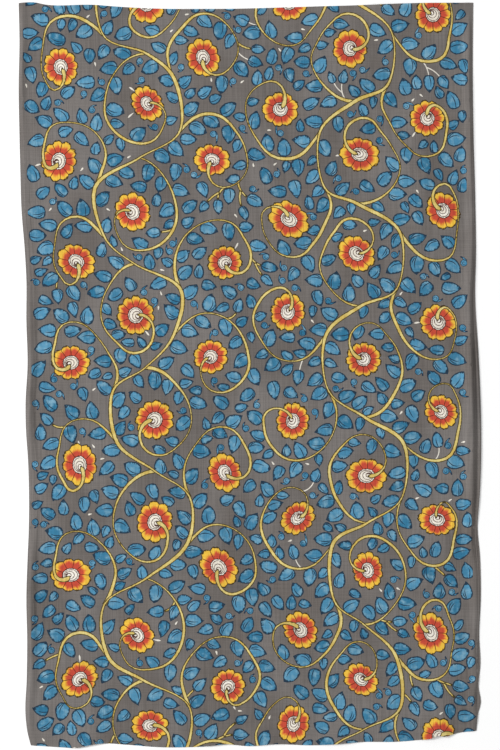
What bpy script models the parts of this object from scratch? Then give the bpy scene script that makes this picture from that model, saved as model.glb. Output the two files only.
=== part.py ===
"""A cut length of painted cotton cloth, lying face up on a flat surface.

The cloth is one thin sheet. It runs along Y between two cut ends and across X between two
selvedges. Nearly all of it lies flat on z = 0. One soft narrow pleat runs along the right
selvedge, a lower one along the left, and short flutes run in from the cut ends where the
cloth never lay quite flat. The origin is under the middle of the cloth.
"""

from collections import namedtuple

import bpy
import numpy as np

# Driving dimensions, in metres
REACH_X = 1.143
REACH_Y = 1.842
SHEET_THICKNESS = 0.0015
MILLIMETRE = 0.001

# Grid lines of the sheet, in millimetres in from an edge, and even lines between them
LEFT_LINES = (0, 5, 10, 16, 23, 32, 50)
RIGHT_LINES = (0, 3, 6, 10, 14, 18, 22, 27, 33, 42, 56)
END_LINES = (0, 12, 28, 52)
LINES_ACROSS = 20
LINES_ALONG = 34

# The dyed ground's own colour, and how matt cotton is
GROUND_COLOUR = (0.138, 0.112, 0.102, 1.0)
COTTON_ROUGHNESS = 0.88

# Edges: at a place along the edge, how far it lies inside the cloth's straight outline
EdgePoint = namedtuple("EdgePoint", "along inset")

LEFT_EDGE = (
    EdgePoint(-921, 30),
    EdgePoint(-890, 22),
    EdgePoint(-848, 17),
    EdgePoint(-754, 20),
    EdgePoint(-655, 21),
    EdgePoint(-557, 19),
    EdgePoint(-458, 22),
    EdgePoint(-384, 25),
    EdgePoint(-211, 23),
    EdgePoint(-137, 18),
    EdgePoint(-75, 17),
    EdgePoint(24, 22),
    EdgePoint(135, 19),
    EdgePoint(234, 19),
    EdgePoint(308, 15),
    EdgePoint(407, 7),
    EdgePoint(506, 4),
    EdgePoint(592, 2),
    EdgePoint(716, 0),
    EdgePoint(827, 2),
    EdgePoint(921, 0),
)

RIGHT_EDGE = (
    EdgePoint(-921, 12),
    EdgePoint(-878, 8),
    EdgePoint(-852, 1),
    EdgePoint(-808, 7),
    EdgePoint(-754, 2),
    EdgePoint(-680, 5),
    EdgePoint(-581, 1),
    EdgePoint(-482, 3),
    EdgePoint(-408, 9),
    EdgePoint(-309, 3),
    EdgePoint(-186, 0),
    EdgePoint(-50, 3),
    EdgePoint(36, 7),
    EdgePoint(185, 15),
    EdgePoint(284, 13),
    EdgePoint(432, 15),
    EdgePoint(580, 19),
    EdgePoint(728, 21),
    EdgePoint(921, 20),
)

BOTTOM_EDGE = (
    EdgePoint(-571, 6),
    EdgePoint(-542, 4),
    EdgePoint(-494, 1),
    EdgePoint(-452, 0),
    EdgePoint(-420, 7),
    EdgePoint(-383, 11),
    EdgePoint(-333, 8),
    EdgePoint(-230, 1),
    EdgePoint(-110, 5),
    EdgePoint(-74, 9),
    EdgePoint(-12, 4),
    EdgePoint(50, 9),
    EdgePoint(148, 6),
    EdgePoint(210, 9),
    EdgePoint(272, 14),
    EdgePoint(371, 15),
    EdgePoint(420, 19),
    EdgePoint(460, 25),
    EdgePoint(472, 31),
    EdgePoint(486, 28),
    EdgePoint(520, 36),
    EdgePoint(571, 42),
)

TOP_EDGE = (
    EdgePoint(-571, 2),
    EdgePoint(-533, 0),
    EdgePoint(-508, 5),
    EdgePoint(-370, 7),
    EdgePoint(-346, 9),
    EdgePoint(223, 9),
    EdgePoint(322, 6),
    EdgePoint(421, 2),
    EdgePoint(571, 1),
)

# Pleats along a selvedge: where the crest runs, how high it stands, and how far its soft
# sides reach towards the middle of the cloth and towards the selvedge
PleatPoint = namedtuple("PleatPoint", "along crest height inner outer")

RIGHT_PLEAT = (
    PleatPoint(-900, 13, 1, 20, 11),
    PleatPoint(-754, 13, 4, 22, 11),
    PleatPoint(-606, 12, 4, 22, 10),
    PleatPoint(-482, 14, 3, 22, 11),
    PleatPoint(-384, 18, 6, 24, 10),
    PleatPoint(-211, 22, 9, 26, 9),
    PleatPoint(-38, 21, 11, 28, 8),
    PleatPoint(111, 17, 9, 26, 8),
    PleatPoint(284, 12, 7, 24, 8),
    PleatPoint(395, 10, 5, 22, 9),
    PleatPoint(555, 9, 6, 22, 8),
    PleatPoint(778, 10, 5, 20, 9),
    PleatPoint(900, 10, 1, 20, 9),
)

RIGHT_LIP = (
    PleatPoint(-400, 5, 0, 6, 6),
    PleatPoint(-260, 5, 2, 6, 6),
    PleatPoint(-38, 5, 3, 7, 6),
    PleatPoint(80, 4, 2, 6, 6),
    PleatPoint(160, 4, 0, 6, 6),
)

LEFT_PLEAT = (
    PleatPoint(-900, 11, 1, 16, 10),
    PleatPoint(-779, 11, 3, 18, 10),
    PleatPoint(-655, 11, 5, 18, 10),
    PleatPoint(-458, 11, 4, 18, 10),
    PleatPoint(-235, 10, 1, 16, 9),
    PleatPoint(-112, 10, 5, 18, 9),
    PleatPoint(36, 10, 5, 18, 9),
    PleatPoint(185, 11, 2, 18, 10),
    PleatPoint(432, 11, 1, 18, 10),
    PleatPoint(654, 8, 2, 16, 8),
    PleatPoint(778, 8, 4, 16, 8),
    PleatPoint(900, 9, 2, 16, 9),
)

# Flutes that run in from a cut end: where on the end, how high, how wide to each side of
# the crest, and how far up the cloth they fade out
Flute = namedtuple("Flute", "across height half_width reach")

BOTTOM_FLUTES = (
    Flute(-395, 5, 70, 120),
    Flute(-78, 4, 75, 90),
    Flute(50, 3, 70, 80),
    Flute(225, 4, 75, 110),
    Flute(466, 7, 60, 150),
)

TOP_FLUTES = (
    Flute(-440, 3, 75, 100),
    Flute(-120, 2, 90, 80),
    Flute(330, 3, 80, 110),
)


def smooth_column(rows, name, at):
    """Read one named column of a table at the places `at` along it, in metres.

    Between two rows the value is a cubic that leaves each row with the mean slope there.
    """
    along = np.array([row.along for row in rows]) * MILLIMETRE
    value = np.array([getattr(row, name) for row in rows]) * MILLIMETRE
    slope = np.gradient(value, along)
    low = np.clip(np.searchsorted(along, at) - 1, 0, len(along) - 2)
    span = along[low + 1] - along[low]
    t = np.clip((at - along[low]) / span, 0.0, 1.0)
    start = (1 + 2 * t) * (1 - t) ** 2 * value[low] + t * (1 - t) ** 2 * span * slope[low]
    end = t ** 2 * (3 - 2 * t) * value[low + 1] - t ** 2 * (1 - t) * span * slope[low + 1]
    return start + end


def soft_ridge(distance, low_side, high_side):
    """A ridge of height 1 at distance 0: half a cosine wave down to 0 on each side."""
    width = np.where(distance < 0, low_side, high_side)
    return 0.5 + 0.5 * np.cos(np.pi * np.clip(distance / width, -1.0, 1.0))


def grid_lines(low_lines, high_lines, between):
    """Grid lines as a share of the span plus an offset in metres from that share.

    The lines near an edge keep their own distance from it. The lines between them are even.
    """
    low = np.array(low_lines) * MILLIMETRE
    high = np.array(high_lines)[::-1] * MILLIMETRE
    even = np.linspace(0.0, 1.0, between + 2)[1:-1]
    share = np.concatenate([np.zeros(len(low)), even, np.ones(len(high))])
    middle = low[-1] * (1 - even) - high[0] * even
    offset = np.concatenate([low, middle, -high])
    return share, offset


def sheet_grid():
    """Plan of the sheet as two arrays, x and y, with rows along Y and columns along X."""
    share_x, offset_x = grid_lines(LEFT_LINES, RIGHT_LINES, LINES_ACROSS)
    share_y, offset_y = grid_lines(END_LINES, END_LINES, LINES_ALONG)
    straight_x = REACH_X * (share_x - 0.5) + offset_x
    straight_y = REACH_Y * (share_y - 0.5) + offset_y
    left = -REACH_X / 2 + smooth_column(LEFT_EDGE, "inset", straight_y)
    right = REACH_X / 2 - smooth_column(RIGHT_EDGE, "inset", straight_y)
    bottom = -REACH_Y / 2 + smooth_column(BOTTOM_EDGE, "inset", straight_x)
    top = REACH_Y / 2 - smooth_column(TOP_EDGE, "inset", straight_x)
    x = left[:, None] + share_x * (right - left)[:, None] + offset_x
    y = bottom + share_y[:, None] * (top - bottom) + offset_y[:, None]
    return x, y


def pleat_height(rows, from_selvedge, y):
    """Height of one pleat, from the distance to its selvedge and the place along Y."""
    crest = smooth_column(rows, "crest", y)
    inner = smooth_column(rows, "inner", y)
    outer = smooth_column(rows, "outer", y)
    height = np.maximum(smooth_column(rows, "height", y), 0.0)
    return height * soft_ridge(from_selvedge - crest, outer, inner)


def flute_height(flutes, x, from_end):
    """Height of the flutes at one cut end: highest at the end, fading out at `reach`."""
    total = np.zeros_like(x)
    for flute in flutes:
        side = flute.half_width * MILLIMETRE
        across = soft_ridge(x - flute.across * MILLIMETRE, side, side)
        inward = soft_ridge(from_end, side, flute.reach * MILLIMETRE)
        total = total + flute.height * MILLIMETRE * across * inward
    return total


def underside_height(x, y):
    """Height of the sheet's underside over the surface: 0 wherever the cloth lies flat."""
    from_left = x - x[:, :1]
    from_right = x[:, -1:] - x
    from_bottom = y - y[:1, :]
    from_top = y[-1:, :] - y
    return (
        pleat_height(RIGHT_PLEAT, from_right, y)
        + pleat_height(RIGHT_LIP, from_right, y)
        + pleat_height(LEFT_PLEAT, from_left, y)
        + flute_height(BOTTOM_FLUTES, x, from_bottom)
        + flute_height(TOP_FLUTES, x, from_top)
    )


def cotton_material():
    """Matt dyed cotton in the ground's colour."""
    material = bpy.data.materials.new("painted_cotton")
    material.use_nodes = True
    shader = material.node_tree.nodes["Principled BSDF"]
    shader.inputs["Base Color"].default_value = GROUND_COLOUR
    shader.inputs["Roughness"].default_value = COTTON_ROUGHNESS
    shader.inputs["Metallic"].default_value = 0.0
    return material


def make_cloth():
    """The sheet: its underside as a grid of quads, thickened upwards by Solidify."""
    x, y = sheet_grid()
    points = np.stack([x, y, underside_height(x, y)], axis=-1).reshape(-1, 3)
    rows, columns = x.shape
    index = np.arange(rows * columns).reshape(rows, columns)
    corners = (index[:-1, :-1], index[:-1, 1:], index[1:, 1:], index[1:, :-1])
    quads = np.stack(corners, axis=-1).reshape(-1, 4)

    mesh = bpy.data.meshes.new("cloth")
    mesh.from_pydata(points.tolist(), [], quads.tolist())
    mesh.materials.append(cotton_material())
    mesh.shade_smooth()
    cloth = bpy.data.objects.new("cloth", mesh)
    bpy.context.scene.collection.objects.link(cloth)

    solidify = cloth.modifiers.new("sheet thickness", "SOLIDIFY")
    solidify.thickness = SHEET_THICKNESS
    solidify.offset = 1.0
    return cloth


for old_object in list(bpy.data.objects):
    bpy.data.objects.remove(old_object)

make_cloth()
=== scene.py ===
# %% [markdown]
# # A length of painted cotton, drawn and built with numpy
#
# The object is one cut length of hand painted cotton: blue leaves, yellow vines and
# orange flowers on a grey brown ground. It lies face up on a pale floor. The frame gives
# one solid, a plain sheet with soft pleats. This lesson replaces it by a finer sheet that
# carries the whole drawing in its own mesh, so that every painted line is a real edge.

# %% Load the frame
from collections import namedtuple

import bpy
import numpy as np
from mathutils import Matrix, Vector
from mathutils.geometry import delaunay_2d_cdt


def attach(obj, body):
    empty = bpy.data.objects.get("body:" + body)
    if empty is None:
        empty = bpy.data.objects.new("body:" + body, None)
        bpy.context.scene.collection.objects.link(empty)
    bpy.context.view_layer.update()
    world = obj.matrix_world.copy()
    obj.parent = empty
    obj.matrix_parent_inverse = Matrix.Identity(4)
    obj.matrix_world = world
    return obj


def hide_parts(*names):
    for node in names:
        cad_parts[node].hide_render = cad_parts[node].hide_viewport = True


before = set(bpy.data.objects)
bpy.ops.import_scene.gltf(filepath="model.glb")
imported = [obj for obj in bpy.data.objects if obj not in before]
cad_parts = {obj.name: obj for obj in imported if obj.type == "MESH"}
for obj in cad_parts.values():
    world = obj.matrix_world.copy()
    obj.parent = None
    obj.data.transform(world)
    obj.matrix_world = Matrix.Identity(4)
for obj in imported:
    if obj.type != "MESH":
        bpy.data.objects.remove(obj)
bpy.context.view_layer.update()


# %% [markdown]
# ## The camera and the light
#
# The photo looks straight down on the cloth. One of its pixels covers 2.47 mm, which
# makes the cloth 1.12 m wide, so 750 pixels are 1.85 m. A long lens from high above keeps
# the edges as straight as there.

# %% Camera straight above the cloth
MM = 0.001
PIXEL = 2.4714 * MM
IMAGE_HEIGHT = 750 * PIXEL
LENS = 90.0
SENSOR = 36.0


def put_in_scene(name, data):
    """Make an object of the data and link it to the scene."""
    thing = bpy.data.objects.new(name, data)
    bpy.context.scene.collection.objects.link(thing)
    return thing


camera_data = bpy.data.cameras.new("camera")
camera_data.lens = LENS
camera_data.sensor_width = SENSOR
camera = put_in_scene("camera", camera_data)
camera.location = (0.0, 0.0, IMAGE_HEIGHT * LENS / SENSOR)
bpy.context.scene.camera = camera
print("camera height:", round(camera.location.z, 3), "m")

# %% [markdown]
# The cloth is lit evenly, as for a catalogue. Most of the light comes from a white sky.
# One large soft lamp stands high on the left, so the pleats have a light side and a dark
# side. The standard view keeps colours as they are mixed in the materials.

# %% Sky and one soft lamp
SKY_STRENGTH = 0.62
LAMP_POWER = 930.0
LAMP_PLACE = (-8.5, 2.0, 5.5)
LAMP_SIZE = 3.0

scene = bpy.context.scene
scene.view_settings.view_transform = "Standard"
world = bpy.data.worlds.new("studio sky")
world.use_nodes = True
sky = world.node_tree.nodes["Background"]
sky.inputs["Color"].default_value = (1.0, 1.0, 1.0, 1.0)
sky.inputs["Strength"].default_value = SKY_STRENGTH
scene.world = world

lamp_data = bpy.data.lights.new("soft lamp", "AREA")
lamp_data.energy = LAMP_POWER
lamp_data.size = LAMP_SIZE
lamp = put_in_scene("soft lamp", lamp_data)
lamp.location = LAMP_PLACE
lamp.rotation_euler = (-Vector(LAMP_PLACE)).to_track_quat("-Z", "Y").to_euler()
print("lamp", round(lamp.location.length, 1), "m from the cloth")

# %% A pale floor
HALF_FLOOR = 30.0
FLOOR_DROP = 0.4 * MM
FLOOR_COLOUR = (0.99, 0.99, 0.99, 1.0)
FLOOR_ROUGHNESS, FLOOR_SPECULAR = 0.9, 0.1


def new_material(name, roughness, specular):
    """A material, and its Principled shader with that roughness and gloss."""
    material = bpy.data.materials.new(name)
    material.use_nodes = True
    shader = material.node_tree.nodes["Principled BSDF"]
    shader.inputs["Roughness"].default_value = roughness
    shader.inputs["Specular IOR Level"].default_value = specular
    return material, shader


floor_mesh = bpy.data.meshes.new("floor")
floor_corners = [
    (x * HALF_FLOOR, y * HALF_FLOOR, -FLOOR_DROP) for x, y in ((-1, -1), (1, -1), (1, 1), (-1, 1))
]
floor_mesh.from_pydata(floor_corners, [], [(0, 1, 2, 3)])
floor_material, floor_shader = new_material("pale floor", FLOOR_ROUGHNESS, FLOOR_SPECULAR)
floor_shader.inputs["Base Color"].default_value = FLOOR_COLOUR
floor_mesh.materials.append(floor_material)
floor = put_in_scene("floor", floor_mesh)
print("floor", FLOOR_DROP / MM, "mm under the cloth")

# %% [markdown]
# ## The outline of the cloth
#
# A cut length is never a true rectangle. Each edge here is a short table: at a place
# along the edge, how far the cloth stops inside its box. A cubic runs through the rows, so
# the edge wavers softly. The sizes are in millimetres, and the solid in the frame has the
# same ones.

# %% Edge tables, in millimetres
REACH_X, REACH_Y = 1143.0, 1842.0
HALF_X, HALF_Y = REACH_X / 2, REACH_Y / 2


def table(columns, *rows):
    """Rows of numbers whose columns have names."""
    kind = namedtuple("Row", columns)
    return [kind(*row) for row in rows]


LEFT_EDGE = table(
    "along inset",
    (-921, 30), (-890, 22), (-848, 17), (-754, 20), (-655, 21), (-557, 19), (-458, 22),
    (-384, 25), (-211, 23), (-137, 18), (-75, 17), (24, 22), (135, 19), (234, 19),
    (308, 15), (407, 7), (506, 4), (592, 2), (716, 0), (827, 2), (921, 0),
)
RIGHT_EDGE = table(
    "along inset",
    (-921, 12), (-878, 8), (-852, 1), (-808, 7), (-754, 2), (-680, 5), (-581, 1),
    (-482, 3), (-408, 9), (-309, 3), (-186, 0), (-50, 3), (36, 7), (185, 15), (284, 13),
    (432, 15), (580, 19), (728, 21), (921, 20),
)
BOTTOM_EDGE = table(
    "along inset",
    (-571, 6), (-542, 4), (-494, 1), (-452, 0), (-420, 7), (-383, 11), (-333, 8),
    (-230, 1), (-110, 5), (-74, 9), (-12, 4), (50, 9), (148, 6), (210, 9), (272, 14),
    (371, 15), (420, 19), (460, 25), (472, 31), (486, 28), (520, 36), (571, 42),
)
TOP_EDGE = table(
    "along inset",
    (-571, 2), (-533, 0), (-508, 5), (-370, 7), (-346, 9), (223, 9), (322, 6), (421, 2),
    (571, 1),
)
print("rows:", [len(rows) for rows in (LEFT_EDGE, RIGHT_EDGE, BOTTOM_EDGE, TOP_EDGE)])


# %% A smooth line through each table
def cubic(t, span, first, last, leave, arrive):
    """A cubic between two values `span` apart, with the slopes `leave` and `arrive` there."""
    start = (1 + 2 * t) * (1 - t) ** 2 * first + t * (1 - t) ** 2 * span * leave
    end = t ** 2 * (3 - 2 * t) * last - t ** 2 * (1 - t) * span * arrive
    return start + end


def read_table(rows, name, at):
    """Value of the column `name` at the places `at` in the table's first column.

    Between two rows runs a cubic that leaves each row with the mean slope of its
    neighbours. Before the first row and after the last the value stays the same.
    """
    place = np.array([row[0] for row in rows], float)
    value = np.array([getattr(row, name) for row in rows], float)
    slope = np.gradient(value, place)
    low = np.clip(np.searchsorted(place, at) - 1, 0, len(place) - 2)
    span = place[low + 1] - place[low]
    t = np.clip((at - place[low]) / span, 0.0, 1.0)
    return cubic(t, span, value[low], value[low + 1], slope[low], slope[low + 1])


def edge_line(rows, limit, outward):
    """An edge as a function of the place along it: the box's limit less the table's inset."""
    return lambda at: limit - outward * read_table(rows, "inset", at)


left_side, right_side = edge_line(LEFT_EDGE, -HALF_X, -1), edge_line(RIGHT_EDGE, HALF_X, 1)
bottom_end, top_end = edge_line(BOTTOM_EDGE, -HALF_Y, -1), edge_line(TOP_EDGE, HALF_Y, 1)
print("width halfway up:", round(float(right_side(0.0) - left_side(0.0)), 1), "mm")

# %% The four edges, and one closed outline counterclockwise from the lower left corner
END_STEP = 9.0
SIDE_STEP = 12.0


def cloth_edges(end_step, side_step):
    """Points along the four edges, a step apart: lower end, right side, upper end, left side.

    Each side is stretched to end on the cut ends, so the corners meet exactly.
    """
    across = np.linspace(0, 1, int(REACH_X / end_step))
    along = np.linspace(0, 1, int(REACH_Y / side_step))
    ends, sides = [], []
    for y, end in ((-HALF_Y, bottom_end), (HALF_Y, top_end)):
        x = left_side(y) + across * (right_side(y) - left_side(y))
        ends.append(np.stack([x, end(-HALF_X + across * REACH_X)], axis=1))
    for corner, side in ((-1, right_side), (0, left_side)):
        low, high = ends[0][corner, 1], ends[1][corner, 1]
        x = side(-HALF_Y + along * REACH_Y)
        sides.append(np.stack([x, low + along * (high - low)], axis=1))
    return ends[0], sides[0], ends[1], sides[1]


lower_edge, right_edge, upper_edge, left_edge = cloth_edges(END_STEP, SIDE_STEP)
outline = np.concatenate([
    lower_edge[:-1], right_edge[:-1], upper_edge[:0:-1], left_edge[:0:-1],
])
print("outline points:", len(outline))
print("outline from", outline.min(0).round(), "to", outline.max(0).round())

# %% [markdown]
# ## The pleats
#
# Nearly all of the cloth lies flat. A soft pleat runs along the right selvedge and a lower
# one along the left. Short flutes run in from the cut ends, and fine creases up the pleats.
# Each is a ridge whose section is half a cosine wave, and a table says how its crest,
# height and sides change.

# %% Pleats, flutes and creases, in millimetres
PLEAT = "along crest height inner outer"
FLUTE = "across height half_width reach"

RIGHT_PLEAT = table(
    PLEAT,
    (-900, 13, 1, 20, 11), (-754, 13, 4, 22, 11), (-606, 12, 4, 22, 10),
    (-482, 14, 3, 22, 11), (-384, 18, 6, 24, 10), (-211, 22, 9, 26, 9),
    (-38, 21, 11, 28, 8), (111, 17, 9, 26, 8), (284, 12, 7, 24, 8), (395, 10, 5, 22, 9),
    (555, 9, 6, 22, 8), (778, 10, 5, 20, 9), (900, 10, 1, 20, 9),
)
RIGHT_LIP = table(
    PLEAT,
    (-400, 5, 0, 6, 6), (-260, 5, 2, 6, 6), (-38, 5, 3, 7, 6), (80, 4, 2, 6, 6),
    (160, 4, 0, 6, 6),
)
LEFT_PLEAT = table(
    PLEAT,
    (-900, 11, 1, 16, 10), (-779, 11, 3, 18, 10), (-655, 11, 5, 18, 10),
    (-458, 11, 4, 18, 10), (-235, 10, 1, 16, 9), (-112, 10, 5, 18, 9),
    (36, 10, 5, 18, 9), (185, 11, 2, 18, 10), (432, 11, 1, 18, 10), (654, 8, 2, 16, 8),
    (778, 8, 4, 16, 8), (900, 9, 2, 16, 9),
)
BOTTOM_FLUTES = table(
    FLUTE,
    (-395, 5, 70, 120), (-78, 4, 75, 90), (50, 3, 70, 80), (225, 4, 75, 110),
    (466, 7, 60, 150),
)
TOP_FLUTES = table(FLUTE, (-440, 3, 75, 100), (-120, 2, 90, 80), (330, 3, 80, 110))
CREASES = table(
    "side place height half_width low high",
    (1, 4.0, 1.3, 2.4, -820, 760), (1, 9.0, 0.9, 2.4, -560, -250),
    (1, 33.0, 0.8, 4.0, -330, 480), (-1, 5.0, 0.6, 2.4, -860, 420),
    (-1, 20.0, 0.5, 3.5, -700, 620), (-1, 9.5, 0.6, 2.6, 60, 860),
)
print("flutes:", len(BOTTOM_FLUTES) + len(TOP_FLUTES), "fine creases:", len(CREASES))

# %% Height of the cloth's underside
CREASE_FADE = 120.0
CREASE_WANDER = 0.9
WANDER_LENGTH = 130.0


def soft_ridge(distance, low_side, high_side):
    """A ridge of height 1 at distance 0: half a cosine wave down to 0 on each side."""
    width = np.where(distance < 0, low_side, high_side)
    return 0.5 + 0.5 * np.cos(np.pi * np.clip(distance / width, -1.0, 1.0))


def pleat_height(rows, from_selvedge, y):
    """Height of one pleat, from the distance to its selvedge and the place along Y."""
    crest, inner, outer = (read_table(rows, name, y) for name in ("crest", "inner", "outer"))
    height = np.maximum(read_table(rows, "height", y), 0.0)
    return height * soft_ridge(from_selvedge - crest, outer, inner)


def flute_height(flutes, x, from_end):
    """Sum of the flutes at one cut end: highest at the end, fading out at `reach`."""
    return sum(
        flute.height
        * soft_ridge(x - flute.across, flute.half_width, flute.half_width)
        * soft_ridge(from_end, flute.half_width, flute.reach)
        for flute in flutes
    )


def crease_height(x, y):
    """Sum of the fine creases: each wanders a little and fades out at both ends."""
    total = 0.0
    for number, crease in enumerate(CREASES):
        selvedge = right_side(y) - x if crease.side > 0 else x - left_side(y)
        place = crease.place + CREASE_WANDER * np.sin(y / WANDER_LENGTH + 2 * number)
        from_ends = (y - crease.low, crease.high - y)
        low, high = (np.clip(away / CREASE_FADE, 0, 1) for away in from_ends)
        ridge = soft_ridge(selvedge - place, crease.half_width, crease.half_width)
        total = total + crease.height * (low * high) * ridge
    return total


def underside(x, y):
    """Height of the cloth's underside over the floor, 0 wherever it lies flat."""
    return crease_height(x, y) + (
        pleat_height(RIGHT_PLEAT, right_side(y) - x, y)
        + pleat_height(RIGHT_LIP, right_side(y) - x, y)
        + pleat_height(LEFT_PLEAT, x - left_side(y), y)
        + flute_height(BOTTOM_FLUTES, x, y - bottom_end(x))
        + flute_height(TOP_FLUTES, x, top_end(x) - y)
    )


heights = underside(*outline.T)
flat_points = int((heights < 0.05).sum())
print("edge stands up to", round(heights.max(), 1), "mm, and is flat at", flat_points, "points")

# %% [markdown]
# ## Where the flowers sit
#
# The flowers stand in six columns, each half a step higher or lower than its neighbours,
# so every flower has six others round it. A painter's hand isn't exact: each centre moves
# a little at random, from a fixed seed.

# %% Flower centres on a staggered lattice
rng = np.random.default_rng(26)

COLUMNS = 6
COLUMN_PITCH = 181.0
ROW_PITCH = 255.0
ROW_START = 20.0
CENTRE_DRIFT = 15.0
LARGEST_DRIFT = 25.0
ROWS = range(-5, 6)
SHOWN_BEYOND = 30


def lattice_point(column, row):
    """Centre of a cell: odd columns stand half a row higher than even ones."""
    x = (column - (COLUMNS - 1) / 2) * COLUMN_PITCH
    y = (row + 0.5 * (column % 2)) * ROW_PITCH + ROW_START
    return np.array([x, y])


centres = {
    (column, row): lattice_point(column, row)
    + np.clip(rng.normal(0, CENTRE_DRIFT, 2), -LARGEST_DRIFT, LARGEST_DRIFT)
    for column in range(COLUMNS)
    for row in ROWS
}
shown = [key for key, point in centres.items() if abs(point[1]) < HALF_Y + SHOWN_BEYOND]
print("flowers that show:", len(shown))

# %% [markdown]
# ## The vines
#
# This is the old scroll of leaves and spirals. A trunk snakes upwards between the flowers
# of its column. Where it bulges to one side it passes two flowers of the next column, and
# throws off a branch round each. Every branch turns once round its flower and ends in its
# heart. A curve through the midpoints between neighbouring flowers gives a trunk, and a
# polar spiral gives a branch.

# %% Curves through points
VINE_STEP = 8.2
CURVE_PARTS = 40


def path_lengths(path):
    """Distance from the start to each point of a path, along it."""
    return np.concatenate([[0], np.cumsum(np.linalg.norm(np.diff(path, axis=0), axis=1))])


def even_steps(path, step):
    """The same path with its points about `step` apart."""
    length = path_lengths(path)
    places = np.linspace(0, length[-1], max(int(round(length[-1] / step)), 3))
    return np.stack([np.interp(places, length, path[:, axis]) for axis in (0, 1)], axis=1)


def through_points(points, step):
    """Smooth curve through the points, read again every `step` millimetres.

    Each piece is a cubic whose slope at a point follows the line between its neighbours.
    """
    points = np.asarray(points, float)
    before = np.vstack([2 * points[0] - points[1], points[:-1]])
    after = np.vstack([points[1:], 2 * points[-1] - points[-2]])
    slope = (after - before) / 2
    t = np.linspace(0, 1, CURVE_PARTS, endpoint=False)[:, None, None]
    curve = cubic(t, 1.0, points[:-1], points[1:], slope[:-1], slope[1:])
    curve = np.vstack([curve.transpose(1, 0, 2).reshape(-1, 2), points[-1:]])
    return even_steps(curve, step)


print("a vine has a point every", VINE_STEP, "mm")

# %% Spirals round the flowers
SPIRAL = table(
    "turned radius",
    (0.0, 1.0), (0.12, 0.95), (0.3, 0.87), (0.5, 0.79), (0.7, 0.67), (0.84, 0.47),
    (0.94, 0.2), (1.0, 0.03),
)
SPIRAL_PARTS = 90
START_FADE = 6
SELVEDGE_REACH = 74.0
FOCUS = 7.0


def rays(angle):
    """Unit vectors at the given angles."""
    return np.stack([np.cos(angle), np.sin(angle)], axis=1)


def side_cells(column, row, side):
    """The lower and the upper neighbour of a cell in the column on one side of it."""
    lower = row - 1 + column % 2
    return [(column + side, lower), (column + side, lower + 1)]


def cell_reach(cell, angle):
    """How far a flower's own space reaches at each angle.

    It is half the distance to the neighbour that way, blended over the six neighbours
    with weights that fall off with the angle. Beyond the last column it is less.
    """
    column, row = cell
    around = [(column, row - 1), (column, row + 1)]
    around += side_cells(column, row, -1) + side_cells(column, row, 1)
    total = weights = 0.0
    for other in around:
        arm = centres.get(other, lattice_point(*other)) - centres[cell]
        outside = not 0 <= other[0] < COLUMNS
        reach = SELVEDGE_REACH if outside else np.hypot(*arm) / 2
        weight = np.exp(FOCUS * np.cos(angle - np.arctan2(arm[1], arm[0])))
        total = total + weight * reach
        weights = weights + weight
    return total / weights


def spiral(cell, start, turn):
    """A branch from `start` round a cell's flower, through the angle `turn` in radians.

    The distance to the flower is the cell's reach times a share that shrinks as in SPIRAL.
    """
    share = np.linspace(0, 1, SPIRAL_PARTS)
    arm = start - centres[cell]
    angle = np.arctan2(arm[1], arm[0]) + turn * share
    reach = cell_reach(cell, angle)
    first = np.hypot(*arm) / reach[0]
    radius = reach * (1 + (first - 1) * (1 - share) ** START_FADE)
    radius = radius * read_table(SPIRAL, "radius", share)
    return centres[cell] + radius[:, None] * rays(angle)


print("reach of a middle flower:", cell_reach((2, 0), np.arange(4) * np.pi / 2).round(), "mm")

# %% The limits of the painted part
PAINTED = table(
    "along left right",
    (-980, -552, 549), (-800, -553, 548), (-520, -552, 540), (-260, -550, 534),
    (185, -548, 532), (481, -549, 538), (716, -551, 547), (980, -552, 548),
)
VINE_LIMIT = 526.0
TURN_BACK = 62.0


def between_selvedges(path):
    """Keep a path off the plain selvedges: near them, ever more of its way out is lost."""
    x, y = path.T
    for sign in (1, -1):
        over = np.maximum(sign * x - (VINE_LIMIT - TURN_BACK), 0)
        x = x - sign * (over - TURN_BACK * np.tanh(over / TURN_BACK))
    return np.stack([x, y], axis=1)


far_out = between_selvedges(np.array([[600.0, 0.0]]))[0, 0]
print("a vine that heads for x = 600 turns at", far_out.round(), "mm")

# %% Trunks and branches as paths
Vine = namedtuple("Vine", "path wide_start wide_end flower")

TRUNKS = ((1, 1), (4, -1))
SHORT_TURN = 4.5
LONG_TURN = 5.7
LONG_TURN_INSIDE = LONG_TURN - 0.6
TRUNK_WIDTH = 9.2
BRANCH_WIDTH = 8.8
BRANCH_THIN = 7.2


def midpoint(first, second):
    """The point halfway between two flowers."""
    return (centres[first] + centres[second]) / 2


vines = []
for column, onward in TRUNKS:
    rows = ROWS[1:-1][::onward]
    side = onward
    route = [midpoint((column, rows[0] - onward), (column, rows[0]))]
    for row in rows:
        cell = (column, row)
        neighbours = side_cells(column, row, side)[::onward]
        leaves_at = midpoint(cell, (column, row + onward))
        passed = [midpoint(cell, other) for other in neighbours]
        route += passed + [leaves_at]
        spin = side * onward
        branches = [(cell, leaves_at, spin, LONG_TURN_INSIDE)]
        branches += [(other, at, -spin, LONG_TURN) for other, at in zip(neighbours, passed)]
        for flower, start, way, longest in branches:
            path = spiral(flower, start, way * rng.uniform(SHORT_TURN, longest))
            vines.append(Vine(path, BRANCH_WIDTH, BRANCH_THIN, flower))
        side = -side
    vines.append(Vine(through_points(route, VINE_STEP), TRUNK_WIDTH, TRUNK_WIDTH, None))
vines = [
    vine._replace(path=even_steps(between_selvedges(vine.path), VINE_STEP)) for vine in vines
]
metres = sum(path_lengths(vine.path)[-1] for vine in vines) * MM
print("vines:", len(vines), "with", round(metres, 1), "m of line")

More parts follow.
